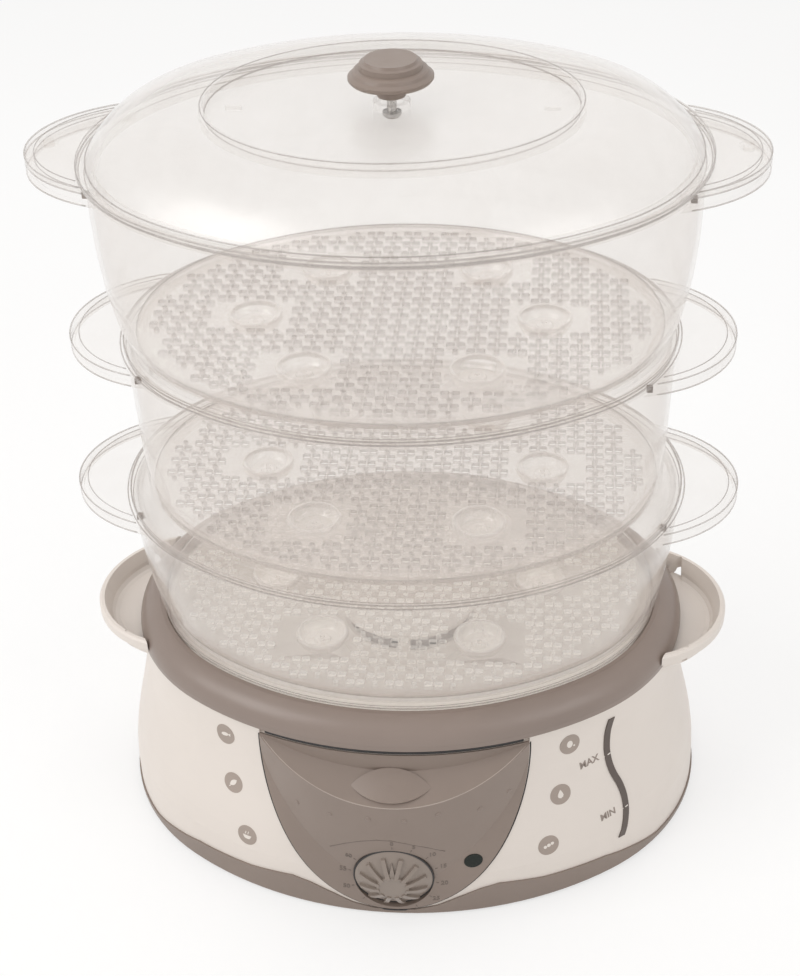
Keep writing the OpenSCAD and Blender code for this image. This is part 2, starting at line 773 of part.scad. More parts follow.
// Both ears of a rim whose top is at z, with a lip round their edge
module ears(tip, z, plate, lip, inner_a) {
    for (turn = [0, 180]) rotate([0, 0, turn]) difference() {
        translate([0, 0, z - lip]) linear_extrude(lip) difference() {
            ear_plan(tip, 0);
            oval(inner_a);
        }
        translate([0, 0, z - lip - 1]) linear_extrude(lip + 1 - plate) ear_plan(tip, -plate);
    }
}
rim_w = 2.5;
rim_t = 2;
wall_steps = 5;
floor_ledge_up = 3;
flange_back = 1.5;
// Inner half length of the rim of a tray whose rim is rim_a
function rim_in(rim_a) = rim_a - rim_w - tray_wall;
// Outer half length of a tray's wall, t running from its foot to its rim
function belly(rim_a, round, t) = foot_a + (rim_a - rim_w - foot_a) * (1 - pow(1 - t, round));
// A tray: its wall runs from base_z to top_z, and a skirt of half length skirt_a reaches
// into the rim below, under a flange that rests on that rim
module tray(base_z, top_z, rim_a, round, skirt_a, flange_a, ear) {
    wall_h = top_z - rim_t - base_z;
    ledge_z = base_z + floor_ledge_up - tray_wall;
    outer = [for (i = [0:wall_steps]) let(t = i / wall_steps) [belly(rim_a, round, t), base_z + wall_h * t]];
    oval_sweep() {
        polygon(concat(
            outer, [[rim_a, top_z - rim_t], [rim_a, top_z], [rim_in(rim_a), top_z]],
            [for (p = back(outer)) [p[0] - tray_wall, p[1]]]));
        translate([foot_a - tray_wall - floor_ledge, ledge_z]) square([floor_ledge + tray_wall, tray_wall]);
        translate([foot_a - tray_wall, base_z]) square([flange_a - foot_a + tray_wall, tray_wall]);
        translate([skirt_a - tray_wall, base_z - foot_depth]) square([tray_wall, foot_depth + tray_wall]);
    }
    ears(ear, top_z, rim_t, ear_lip, rim_in(rim_a));
}
module tray_lower() color(clear) {
    tray(seat_z + foot_depth, lower_top, lower_rim_a, 1.7, foot_a, foot_a, lower_ear);
}
module tray_middle() color(clear) {
    tray(
        lower_top, middle_top, middle_rim_a, 1.2, rim_in(lower_rim_a) - foot_gap, lower_rim_a - flange_back,
        middle_ear);
}
module tray_upper() color(clear) {
    tray(
        middle_top, upper_top, upper_rim_a, 3, rim_in(middle_rim_a) - foot_gap, middle_rim_a - flange_back,
        upper_ear);
}

// --- lift-out floors with slots and six egg cups ---
egg_places = [[65, 0], [-65, 0], [37.3, 46], [-37.3, 46], [37.3, -46], [-37.3, -46]];
floor_a = foot_a - tray_wall - floor_gap;
plain_r = egg_d / 2 + 5;
plain_rim = 15;
egg_wall = 1.4;
egg_hole_r = 3;
function clear_of_eggs(p) = min([for (e = egg_places) norm(p - e)]) > plain_r + slot_l / 2;
function inside_floor(p) = norm([p[0], p[1] * (floor_a / half_depth(floor_a))]) < floor_a - plain_rim;
module steam_floor(z) {
    rows = ceil(half_depth(floor_a) / row_pitch);
    columns = ceil(floor_a / slot_pitch);
    translate([0, 0, z]) {
        linear_extrude(floor_t) difference() {
            oval(floor_a);
            for (e = egg_places) translate(e) circle(d = egg_d - 2);
            for (row = [-rows:rows], column = [-columns:columns]) {
                place = [(column + (row % 2 == 0 ? 0 : 0.5)) * slot_pitch, row * row_pitch];
                if (clear_of_eggs(place) && inside_floor(place))
                    translate(place) square([slot_l, slot_w], center = true);
            }
        }
        for (e = egg_places) translate(e) rotate_extrude() polygon([
            [egg_d / 2, floor_t], [egg_d / 2 - 2.4, floor_t - egg_depth], [egg_hole_r, floor_t - egg_depth],
            [egg_hole_r, floor_t - egg_depth + egg_wall], [egg_d / 2 - 3.6, floor_t - egg_depth + egg_wall],
            [egg_d / 2 - 1.6, floor_t]]);
    }
}
module floor_lower() color(clear) {
    steam_floor(seat_z + foot_depth + floor_ledge_up);
}
module floor_middle() color(clear) {
    steam_floor(lower_top + floor_ledge_up);
}
module floor_upper() color(clear) {
    steam_floor(middle_top + floor_ledge_up);
}

// --- lid ---
lid_skirt_a = rim_in(upper_rim_a) - foot_gap;
lid_a = upper_rim_a + lid_over;
dome_foot_a = lid_a - 4.5;
dome_top_a = max(lid_panel_a, lid_panel_b + side_more) + 2;
dome_run = dome_foot_a - dome_top_a;
dome_z0 = upper_top + lid_flange_t;
dome_r = (dome_run * dome_run + lid_rise * lid_rise) / (2 * lid_rise);
lid_floor_z = lid_panel_z - lid_sink;
module top_plan(d) {
    ra = lid_panel_a + d;
    scale([1, (lid_panel_b + d) / ra]) circle(r = ra);
}
// Profile of the dome's flank: an arc that runs level into the flat top
module dome_profile(d) {
    intersection() {
        translate([dome_top_a, lid_panel_z - dome_r]) circle(r = dome_r + d, $fn = 128);
        translate([dome_top_a, dome_z0 - 0.5]) square([dome_run + d, lid_rise + 1]);
    }
}
module oval_ring(a_in, a_out, z0, z1) {
    oval_sweep() translate([a_in, z0]) square([a_out - a_in, z1 - z0]);
}
post_d = 16;
post_h = 3;
post_top_d = 11;
post_top_h = 2;
knob_screw_d = 4;
knob_hole_d = knob_screw_d + 0.2;
ear_boss_x = upper_ear - 10;
ear_boss_d = 8;
vent_x = 67;
vent_l = 7;
vent_w = 1.6;
module lid() color(clear) {
    difference() {
        union() {
            oval_sweep() difference() {
                dome_profile(0);
                dome_profile(-lid_wall);
            }
            // flat top with its sunk panel
            difference() {
                union() {
                    oval_slab(dome_top_a + 0.5, lid_panel_z - lid_wall, lid_panel_z);
                    translate([0, 0, lid_floor_z - lid_wall]) linear_extrude(lid_sink + lid_wall) top_plan(0);
                }
                translate([0, 0, lid_floor_z]) linear_extrude(big) top_plan(-lid_wall);
            }
            oval_ring(lid_skirt_a - lid_wall, lid_a, upper_top, dome_z0);
            oval_ring(lid_skirt_a - lid_wall, lid_skirt_a, upper_top - foot_depth, upper_top + 0.5);
            oval_ring(lid_a - 1.8, lid_a - 0.6, upper_top + 1, dome_z0 + 0.8);
            ears(upper_ear, dome_z0, lid_flange_t, lid_flange_t, lid_a - 2);
            for (side = [-1, 1]) translate([side * ear_boss_x, 0, upper_top])
                cylinder(d = ear_boss_d, h = lid_flange_t + 0.8);
            translate([0, 0, lid_floor_z - 1]) cylinder(d = post_d, h = post_h + 1);
            translate([0, 0, lid_floor_z]) cylinder(d = post_top_d, h = post_h + post_top_h);
        }
        for (side = [-1, 1]) translate([side * ear_boss_x, 0, upper_top + 1])
            cylinder(d = ear_boss_d - 3, h = big);
        for (side = [-1, 1]) translate([side * vent_x, 0, lid_floor_z])
            cube([vent_l, vent_w, 3 * lid_wall], center = true);
        cylinder(d = knob_hole_d, h = big);
    }
}
knob_foot_z = lid_floor_z + post_h + post_top_h;
knob_top_z = lid_floor_z + lid_knob_h;
knob_hole_h = (knob_top_z - knob_foot_z) * 0.7;
module lid_knob() color(taupe) {
    r = lid_knob_r;
    h = knob_top_z - knob_foot_z;
    rotate_extrude() translate([0, knob_foot_z]) difference() {
        polygon([
            [0, 0], [6, 0], [6.5, h * 0.35], [r - 0.8, h * 0.42], [r, h * 0.48], [r, h * 0.55],
            [r - 1.6, h * 0.62], [r - 2.2, h * 0.7], [r - 3, h * 0.74], [r - 4.6, h * 0.76], [r - 5, h * 0.9],
            [r - 6.4, h * 0.93], [r - 7, h], [0, h]]);
        square([knob_screw_d / 2, knob_hole_h]);
    }
}
module knob_screw() color(metal) {
    head_z = lid_floor_z - lid_wall;
    end_z = knob_foot_z + knob_hole_h - 0.2;
    rotate_extrude() polygon([
        [0, head_z - 2.4], [3, head_z - 2.4], [4, head_z - 1.4], [4, head_z], [knob_screw_d / 2, head_z],
        [knob_screw_d / 2, end_z], [0, end_z]]);
}

housing();
skirt();
bottom_plate();
foot_front_left();
foot_front_right();
foot_back_left();
foot_back_right();
bottom_screws();
panel();
timer_unit();
timer_shaft();
timer_knob();
lamp_lens();
lamp_bulb();
gauge_window();
cord_gland();
water_tank();
heater();
heater_seal();
thermal_cutout();
steam_ring();
collar();
drip_tray();
chimney();
steam_cap();
tray_lower();
floor_lower();
tray_middle();
floor_middle();
tray_upper();
floor_upper();
lid();
lid_knob();
knob_screw();
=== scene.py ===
import bpy
import bmesh
import math
from mathutils import Matrix, Vector
from mathutils.bvhtree import BVHTree
from mathutils.geometry import tessellate_polygon


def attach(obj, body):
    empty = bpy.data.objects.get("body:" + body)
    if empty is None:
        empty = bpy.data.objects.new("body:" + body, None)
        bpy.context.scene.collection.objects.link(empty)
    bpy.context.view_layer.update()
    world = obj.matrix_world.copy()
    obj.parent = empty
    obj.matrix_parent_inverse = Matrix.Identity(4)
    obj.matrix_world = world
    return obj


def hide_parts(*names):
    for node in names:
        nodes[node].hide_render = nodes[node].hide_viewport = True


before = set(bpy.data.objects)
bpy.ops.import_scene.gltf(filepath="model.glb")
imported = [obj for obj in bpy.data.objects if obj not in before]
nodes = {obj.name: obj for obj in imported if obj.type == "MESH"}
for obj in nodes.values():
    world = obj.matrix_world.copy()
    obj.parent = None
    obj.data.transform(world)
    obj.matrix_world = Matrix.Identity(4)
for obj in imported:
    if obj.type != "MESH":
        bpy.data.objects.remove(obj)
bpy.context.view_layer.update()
scene = bpy.context.scene
MM = 0.001

# ---------------------------------------------------------------- sizes, as in part.scad, in millimetres
END_X, SIDE_Y, SIDE_MORE = 39.0, 52.0, 26.0
JOIN = math.atan2(4, 3)
FLOOR_A = 118.2
FLOOR_T = 2.0
FLOOR_REST = 0.05
FLOORS = {"lower": 110.0, "middle": 176.0, "upper": 255.5}
EGG_PLACES = [(65, 0), (-65, 0), (37.3, 46), (-37.3, 46), (37.3, -46), (-37.3, -46)]
EGG_R = 11.75
KNOB_Y, KNOB_Z, KNOB_TILT = -118.5876, 24.5, 6.0


# ---------------------------------------------------------------- materials
def srgb(r, g, b):
    """Linear colour of a colour given in 0..255."""
    def lin(c):
        c /= 255
        return c / 12.92 if c <= 0.04045 else ((c + 0.055) / 1.055) ** 2.4
    return (lin(r), lin(g), lin(b), 1)


class Tree:
    """Short way to make and join the nodes of one material."""

    def __init__(self, name):
        self.mat = bpy.data.materials.new(name)
        self.mat.use_nodes = True
        self.nt = self.mat.node_tree
        self.nt.nodes.clear()
        self.out = self.nt.nodes.new("ShaderNodeOutputMaterial")
        self.where = self.nt.nodes.new("ShaderNodeTexCoord").outputs["Object"]

    def node(self, kind, **values):
        n = self.nt.nodes.new(kind)
        for key, v in values.items():
            if key.startswith("_"):
                setattr(n, key[1:], v)
            else:
                self.put(n, key.replace("_", " "), v)
        return n

    def put(self, n, key, v):
        sock = n.inputs[int(key)] if key.isdigit() else n.inputs[key]
        if isinstance(v, bpy.types.NodeSocket):
            self.nt.links.new(v, sock)
        else:
            sock.default_value = v

    def noise(self, scale, detail=2.0, rough=0.5):
        n = self.node("ShaderNodeTexNoise", Scale=scale, Detail=detail, Roughness=rough)
        self.nt.links.new(self.where, n.inputs["Vector"])
        return n.outputs["Fac"]

    def ramp(self, fac, low, high, to_low, to_high):
        n = self.nt.nodes.new("ShaderNodeMapRange")
        for key, v in (("From Min", low), ("From Max", high), ("To Min", to_low), ("To Max", to_high)):
            n.inputs[key].default_value = v
        self.nt.links.new(fac, n.inputs["Value"])
        return n.outputs["Result"]

    def maths(self, kind, a, b=0.0):
        n = self.nt.nodes.new("ShaderNodeMath")
        n.operation = kind
        for i, v in enumerate((a, b)):
            self.put(n, str(i), v)
        return n.outputs[0]

    def mix(self, fac, a, b):
        n = self.nt.nodes.new("ShaderNodeMix")
        n.data_type = "RGBA"
        for i, v in ((0, fac), (6, a), (7, b)):
            if isinstance(v, bpy.types.NodeSocket):
                self.nt.links.new(v, n.inputs[i])
            else:
                n.inputs[i].default_value = v
        return n.outputs[2]

    def bump(self, height, distance, strength=1.0, normal=None):
        n = self.node("ShaderNodeBump", Strength=strength, Distance=distance, Height=height)
        if normal:
            self.nt.links.new(normal, n.inputs["Normal"])
        return n.outputs["Normal"]

    def end(self, shader):
        self.nt.links.new(shader, self.out.inputs["Surface"])
        return self.mat


def tone(c, k):
    """A colour made lighter or darker by a factor."""
    return (min(c[0] * k, 1), min(c[1] * k, 1), min(c[2] * k, 1), 1)


def moulded(name, colour, rough=0.4, grain=700.0, depth=0.00003, vary=0.05, spec=0.5, coat=0.0):
    """Moulded plastic: fine spark grain, slow colour drift, and patches a little more worn than others."""
    t = Tree(name)
    drift = t.noise(16.0, 3.0)
    cloud = t.noise(70.0, 4.0, 0.6)
    base = t.mix(t.ramp(drift, 0.3, 0.7, 0, 1), tone(colour, 1 - vary), tone(colour, 1 + vary))
    base = t.mix(t.ramp(cloud, 0.55, 0.8, 0, 0.35), base, tone(colour, 1 - vary * 1.6))
    fine = t.noise(grain, 2.0, 0.6)
    wear = t.ramp(cloud, 0.3, 0.75, rough - 0.05, rough + 0.07)
    normal = t.bump(fine, depth, 0.7)
    normal = t.bump(drift, 0.0004, 0.15, normal)
    p = t.node("ShaderNodeBsdfPrincipled", Base_Color=base, Roughness=wear, Normal=normal)
    p.inputs["Specular IOR Level"].default_value = spec
    p.inputs["Coat Weight"].default_value = coat
    p.inputs["Coat Roughness"].default_value = 0.15
    return t.end(p.outputs[0])


def metal(name, colour, rough):
    """Brushed or cast metal with faint stains."""
    t = Tree(name)
    brushed = t.noise(240.0, 4.0, 0.7)
    stain = t.noise(30.0, 3.0)
    base = t.mix(t.ramp(stain, 0.35, 0.7, 0, 1), colour, tone(colour, 0.82))
    p = t.node("ShaderNodeBsdfPrincipled", Base_Color=base, Metallic=1.0,
               Roughness=t.ramp(brushed, 0.3, 0.7, rough - 0.06, rough + 0.1), Normal=t.bump(brushed, 0.00003, 0.4))
    return t.end(p.outputs[0])


LIGHT_SPARED = 0.8


def clear(name, colour, haze, edge, power=3.0, rough=0.14, tint=(0.985, 0.981, 0.976, 1), wave=0.0006, shine=1.0,
          gloss_rough=0.12, face_on=0.045):
    """Clear moulded plastic seen as a thin wall: it lets most through, greys towards its edges, and mirrors the
    lamps. Slow waves and faint flow lines show in its gloss."""
    t = Tree(name)
    waves = t.noise(9.0, 2.0, 0.4)
    haze_map = t.noise(45.0, 4.0, 0.6)
    scratch = t.noise(420.0, 2.0, 0.5)
    normal = t.bump(waves, wave, 0.5)
    normal = t.bump(scratch, 0.00002, 0.25, normal)
    facing = t.node("ShaderNodeLayerWeight", Blend=0.5).outputs["Facing"]
    rim = t.maths("POWER", facing, power)
    veil = t.ramp(haze_map, 0.3, 0.75, haze * 0.75, haze * 1.3)
    alpha = t.maths("MINIMUM", t.maths("ADD", veil, t.maths("MULTIPLY", rim, edge)), 0.96)
    # shadow and diffuse rays are dimmed less than camera rays, by this share, which brightens what is inside
    rays = t.node("ShaderNodeLightPath")
    lighting = t.maths("MAXIMUM", rays.outputs["Is Shadow Ray"], rays.outputs["Is Diffuse Ray"])
    shade = t.maths("SUBTRACT", 1.0, t.maths("MULTIPLY", lighting, LIGHT_SPARED))
    alpha = t.maths("MULTIPLY", alpha, shade)
    body = t.node("ShaderNodeBsdfPrincipled", Base_Color=colour, Normal=normal,
                  Roughness=t.ramp(haze_map, 0.3, 0.7, rough - 0.05, rough + 0.08))
    body.inputs["Specular IOR Level"].default_value = 0.5
    through = t.node("ShaderNodeBsdfTransparent", Color=tint)
    film = t.node("ShaderNodeMixShader", Fac=alpha)
    t.nt.links.new(through.outputs[0], film.inputs[1])
    t.nt.links.new(body.outputs[0], film.inputs[2])
    gloss = t.node("ShaderNodeBsdfGlossy", Color=(1, 1, 1, 1), Roughness=gloss_rough, Normal=normal)
    # how much a thin wall mirrors, the same from both of its sides
    mirror = t.maths("ADD", t.maths("MULTIPLY", t.maths("POWER", facing, 5.0), 0.8), face_on)
    both = t.node("ShaderNodeMixShader", Fac=t.maths("MULTIPLY", t.maths("MULTIPLY", mirror, shine), shade))
    t.nt.links.new(film.outputs[0], both.inputs[1])
    t.nt.links.new(gloss.outputs[0], both.inputs[2])
    return t.end(both.outputs[0])


CREAM = srgb(224, 216, 209)
TAUPE = srgb(136, 122, 113)
mats = {
    "cream": moulded("cream_plastic", CREAM, 0.42, 650, 0.00002, 0.02, 0.45),
    "taupe": moulded("taupe_plastic", TAUPE, 0.38, 800, 0.00004, 0.05, 0.5),
    "taupe_soft": moulded("taupe_collar", srgb(139, 125, 117), 0.34, 800, 0.00003, 0.04, 0.5),
    "knob": moulded("taupe_knob", srgb(140, 128, 119), 0.34, 900, 0.00003, 0.05, 0.55),
    "white": moulded("white_plastic", srgb(228, 224, 218), 0.45, 500, 0.00003, 0.02),
    "dark": moulded("dark_plastic", srgb(52, 50, 50), 0.5, 500, 0.00004, 0.1),
    "rubber": moulded("rubber", srgb(46, 44, 43), 0.75, 900, 0.00008, 0.12, 0.3),
    "gauge": moulded("gauge_plastic", srgb(88, 77, 71), 0.3, 300, 0.00002, 0.1, 0.5),
    "lamp": moulded("lamp_plastic", srgb(16, 24, 18), 0.2, 200, 0.00002, 0.15, 0.35),
    "bulb": moulded("lamp_glass", srgb(214, 150, 96), 0.2, 200, 0.00002, 0.1),
    "ink": moulded("mark_ink", srgb(160, 147, 138), 0.5, 900, 0.00002, 0.08),
    "ink_dark": moulded("mark_ink_dark", srgb(112, 101, 93), 0.5, 900, 0.00002, 0.08),
    "pale": moulded("mark_pale", srgb(226, 219, 212), 0.5, 900, 0.00002, 0.03),
    "steel": metal("steel", srgb(196, 194, 192), 0.3),
    "cast": metal("cast_aluminium", srgb(182, 182, 184), 0.42),
    "clear": clear("clear_tray", srgb(224, 216, 211), 0.085, 0.5, 5.0, shine=0.8),
    "clear_lid": clear("clear_lid", srgb(222, 215, 210), 0.07, 0.5, 5.0, 0.1, gloss_rough=0.36, face_on=0.05),
    "clear_floor": clear("clear_floor", srgb(222, 215, 210), 0.3, 0.3, 4.0, 0.16),
    # copies of the floor plastic with painted shade and light: grey slot walls for the shade under the slots, a darker
    # plate for the lowest floor, and near white slot walls on the lowest floor for painted light
    "clear_cut_painted_shade": clear("clear_cut_painted_shade", srgb(178, 170, 165), 0.5, 0.3, 2.0, 0.2),
    "low_floor_painted_shade": clear("clear_low_floor_painted_shade", srgb(186, 177, 171), 0.34, 0.3, 4.0, 0.16),
    "low_cut_painted_light": clear("clear_low_cut_painted_light", srgb(252, 250, 248), 0.6, 0.3, 2.0, 0.2),
    # the white plastic made lighter than the other white parts: painted light against the shade of the trays above
    "pan": moulded("pan_plastic", srgb(246, 243, 239), 0.35, 500, 0.00003, 0.02),
    "word": moulded("mark_word", srgb(146, 134, 126), 0.5, 900, 0.00002, 0.06),
    # lighter taupe for the painted highlight along the panel's crease
    "crest": moulded("panel_crest", srgb(172, 159, 150), 0.34, 900, 0.00002, 0.04),
    # dark grey for the rim beads: painted shade, the dark lines that light bending at clear edges shows
    "clear_bead_painted_shade": clear("clear_bead_painted_shade", srgb(150, 142, 137), 0.34, 0.3, 2.0, 0.14),
    # lighter copy of the floor plastic for the egg cups: painted highlight on their rings
    "clear_cup_painted_highlight": clear("clear_cup_painted_highlight", srgb(236, 231, 227), 0.3, 0.5, 2.5, 0.16),
}
USES = {
    "cream": ["housing", "bottom_plate"],
    "white": ["water_tank", "steam_ring", "timer_unit"],
    "pan": ["drip_tray", "chimney", "steam_cap"],
    "taupe": ["skirt", "panel", "lid_knob"],
    "taupe_soft": ["collar"],
    "knob": ["timer_knob"],
    "dark": ["thermal_cutout"],
    "rubber": ["foot_front_left", "foot_front_right", "foot_back_left", "foot_back_right", "cord_gland", "heater_seal"],
    "gauge": ["gauge_window"],
    "lamp": ["lamp_lens"],
    "bulb": ["lamp_bulb"],
    "steel": ["bottom_screws", "timer_shaft", "knob_screw"],
    "cast": ["heater"],
    "clear": ["tray_lower", "tray_middle", "tray_upper"],
    "clear_lid": ["lid"],
}
for kind, names in USES.items():
    for name in names:
        data = nodes[name].data
        data.materials.clear()
        data.materials.append(mats[kind])


# ---------------------------------------------------------------- meshes
def piece(name, mesh, kind, body):
    """A new piece of the object with a material, on its body."""
    obj = bpy.data.objects.new(name, mesh)
    scene.collection.objects.link(obj)
    mesh.materials.clear()
    mesh.materials.append(mats[kind])
    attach(obj, body)
    return obj


def smooth(mesh, angle=35):
    """Smooth shading, with edges sharper than the angle left sharp."""
    for p in mesh.polygons:
        p.use_smooth = True
    bm = bmesh.new()
    bm.from_mesh(mesh)
    for e in bm.edges:
        if len(e.link_faces) == 2 and e.calc_face_angle(0) > math.radians(angle):
            e.smooth = False
    bm.to_mesh(mesh)
    bm.free()


def oval_points(a, n=24):
    """Outline of the oval whose half length is a: two end arcs and two side arcs."""
    pts = []
    for k, (cx, cy, r) in enumerate(((END_X, 0, a - END_X), (0, -SIDE_Y, a + SIDE_MORE),
                                     (-END_X, 0, a - END_X), (0, SIDE_Y, a + SIDE_MORE))):
        start, end = (-JOIN, JOIN) if k % 2 == 0 else (JOIN, math.pi - JOIN)
        start, end = (start + math.pi * (k // 2), end + math.pi * (k // 2))
        for i in range(n):
            t = start + (end - start) * i / n
            pts.append((cx + r * math.cos(t), cy + r * math.sin(t)))
    return pts


def in_oval(x, y, a):
    """Whether a point lies inside the oval whose half length is a."""
    x, y = abs(x), abs(y)
    if y * 3 < (x - END_X) * 4:
        return math.hypot(x - END_X, y) < a - END_X
    return math.hypot(x, y + SIDE_Y) < a + SIDE_MORE


def ring(cx, cy, r, n):
    """Points of a circle."""
    return [(cx + r * math.cos(2 * math.pi * i / n), cy + r * math.sin(2 * math.pi * i / n)) for i in range(n)]


def chamfered(cx, cy, w, h, c):
    """Rectangle with its corners cut off."""
    x0, x1, y0, y1 = cx - w / 2, cx + w / 2, cy - h / 2, cy + h / 2
    return [(x0 + c, y0), (x1 - c, y0), (x1, y0 + c), (x1, y1 - c),
            (x1 - c, y1), (x0 + c, y1), (x0, y1 - c), (x0, y0 + c)]


def fill(bm, loops, z):
    """Triangles between an outer loop and the loops inside it."""
    flat = [p for loop in loops for p in loop]
    verts = [bm.verts.new((x * MM, y * MM, z * MM)) for x, y in flat]
    for tri in tessellate_polygon([[Vector((x, y, 0)) for x, y in loop] for loop in loops]):
        face = bm.faces.new([verts[i] for i in tri])
        face.normal_update()
        if face.normal.z < 0:
            face.normal_flip()


# pattern of the steam floors: cell, pair of slots, round hole, and how far cells and openings stay inside the oval
COLUMN, ROW = 8.95, 5.1
SLOT_X, SLOT_W, SLOT_H, SLOT_CUT = 2.25, 3.9, 3.5, 0.7
HOLE_R = 1.3
CELL_INSET, OPENING_INSET = 2.2, 4
CUP_ROOM, CUP_LAP = 1, 0.4


def floor_mesh(name, z):
    """Steam floor: pairs of square slots and round holes in a brick pattern, plain round the egg cups and rim."""
    bm = bmesh.new()
    top = z + FLOOR_T

    def corner(c, r):
        return ((c - 0.5) * COLUMN, (r - 0.5) * ROW)

    nc, nr = int(FLOOR_A / COLUMN) + 2, int(FLOOR_A / ROW) + 2
    cells = set()
    for c in range(-nc, nc + 1):
        for r in range(-nr, nr + 1):
            if all(in_oval(*corner(c + i, r + j), FLOOR_A - CELL_INSET) for i in (0, 1) for j in (0, 1)):
                cells.add((c, r))
    eggs = {}
    for ex, ey in EGG_PLACES:
        c0 = math.floor((ex - EGG_R - CUP_ROOM) / COLUMN + 0.5)
        c1 = math.floor((ex + EGG_R + CUP_ROOM) / COLUMN + 0.5)
        # a cup's limit can fall on the line between two rows, and then takes no further row
        r0 = math.floor((ey - EGG_R - CUP_ROOM) / ROW + 0.501)
        r1 = math.floor((ey + EGG_R + CUP_ROOM) / ROW + 0.499)
        eggs[(ex, ey)] = (c0, c1, r0, r1)
    taken = {(c, r) for c0, c1, r0, r1 in eggs.values() for c in range(c0, c1 + 1) for r in range(r0, r1 + 1)}
    for c, r in cells - taken:
        x, y = c * COLUMN, r * ROW
        rect = [corner(c, r), corner(c + 1, r), corner(c + 1, r + 1), corner(c, r + 1)]
        whole = all(in_oval(*p, FLOOR_A - OPENING_INSET) for p in rect)
        if not whole:
            fill(bm, [rect], top)
        elif (c + r) % 2 == 0:
            slots = [chamfered(x + dx, y, SLOT_W, SLOT_H, SLOT_CUT) for dx in (-SLOT_X, SLOT_X)]
            fill(bm, [rect] + slots, top)
        else:
            fill(bm, [rect, ring(x, y, HOLE_R, 8)], top)
    for (ex, ey), (c0, c1, r0, r1) in eggs.items():
        edge = [corner(c, r0) for c in range(c0, c1 + 1)] + [corner(c1 + 1, r) for r in range(r0, r1 + 1)]
        edge += [corner(c, r1 + 1) for c in range(c1 + 1, c0, -1)] + [corner(c0, r) for r in range(r1 + 1, r0, -1)]
        fill(bm, [edge, ring(ex, ey, EGG_R - CUP_LAP, 40)], top)
    # the staircase round the cells, joined to the oval rim
    step = {}
    for c, r in cells | taken:
        for near, a, b in (((c, r - 1), (c, r), (c + 1, r)), ((c + 1, r), (c + 1, r), (c + 1, r + 1)),
                           ((c, r + 1), (c + 1, r + 1), (c, r + 1)), ((c - 1, r), (c, r + 1), (c, r))):
            if near not in cells and near not in taken:
                step[a] = b
    start = at = min(step)
    stairs = []
    while True:
        stairs.append(corner(*at))
        at = step[at]
        if at == start:
            break
    fill(bm, [oval_points(FLOOR_A), stairs], top)
    bmesh.ops.remove_doubles(bm, verts=bm.verts, dist=1e-6)
    bmesh.ops.recalc_face_normals(bm, faces=bm.faces)
    mesh = bpy.data.meshes.new(name)
    bm.to_mesh(mesh)
    bm.free()
    if mesh.polygons[0].normal.z < 0:
        mesh.flip_normals()
    return mesh


def lathe(name, profile, steps=48, centre=(0, 0, 0)):
    """Mesh of a profile [(radius, z)] turned round a vertical axis, in millimetres."""
    bm = bmesh.new()
    rings = []
    for r, z in profile:
        if r < 1e-6:
            rings.append([bm.verts.new((centre[0] * MM, centre[1] * MM, (centre[2] + z) * MM))])
        else:
            rings.append([bm.verts.new(((centre[0] + r * math.cos(2 * math.pi * i / steps)) * MM,
                                        (centre[1] + r * math.sin(2 * math.pi * i / steps)) * MM,
                                        (centre[2] + z) * MM)) for i in range(steps)])
    for a, b in zip(rings, rings[1:]):
        for i in range(steps):
            j = (i + 1) % steps
            loop = [a[i % len(a)], a[j % len(a)], b[j % len(b)], b[i % len(b)]]
            loop = [v for k, v in enumerate(loop) if v not in loop[:k]]
            if len(loop) > 2:
                bm.faces.new(loop)
    bmesh.ops.recalc_face_normals(bm, faces=bm.faces)
    mesh = bpy.data.meshes.new(name)
    bm.to_mesh(mesh)
    bm.free()
    smooth(mesh)
    return mesh


EGG_PROFILE = [(EGG_R + 0.6, 1.9), (EGG_R + 0.2, 2.6), (EGG_R - 0.5, 2.8), (EGG_R - 1.2, 2.5), (EGG_R - 2.0, -1.0),
               (EGG_R - 3.4, -2.6), (4.2, -2.6), (3.6, -1.4), (2.6, -0.9), (1.2, -0.9), (1.2, -3.4), (4.6, -4.0),
               (EGG_R - 2.6, -4.0), (EGG_R - 1.2, -3.0), (EGG_R - 0.4, 0.0), (EGG_R + 0.6, 0.0), (EGG_R + 0.6, 1.9)]

for level, z in FLOORS.items():
    body = "floor_" + level
    low = level == "lower"
    plate = piece("steam_floor_" + level, floor_mesh("steam_floor_" + level, z), "low_floor_painted_shade" if low else "clear_floor",
                  body)
    thick = plate.modifiers.new("thickness", "SOLIDIFY")
    thick.thickness = (FLOOR_T - FLOOR_REST) * MM
    thick.offset = -1
    # slot walls take the painted shade copy, or on the lowest floor the painted light copy
    plate.data.materials.append(mats["low_cut_painted_light" if low else "clear_cut_painted_shade"])
    thick.material_offset_rim = 1
    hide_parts(body)
    for i, (ex, ey) in enumerate(EGG_PLACES):
        cup = lathe("egg_cup", EGG_PROFILE, 40, (ex, ey, z))
        piece(f"egg_cup_{level}_{i + 1}", cup, "clear_cup_painted_highlight", body)


# ---------------------------------------------------------------- beads along the clear rims, in dark grey: painted shade on their edges
EAR_X, EAR_HALF_W = 98.0, 50.0


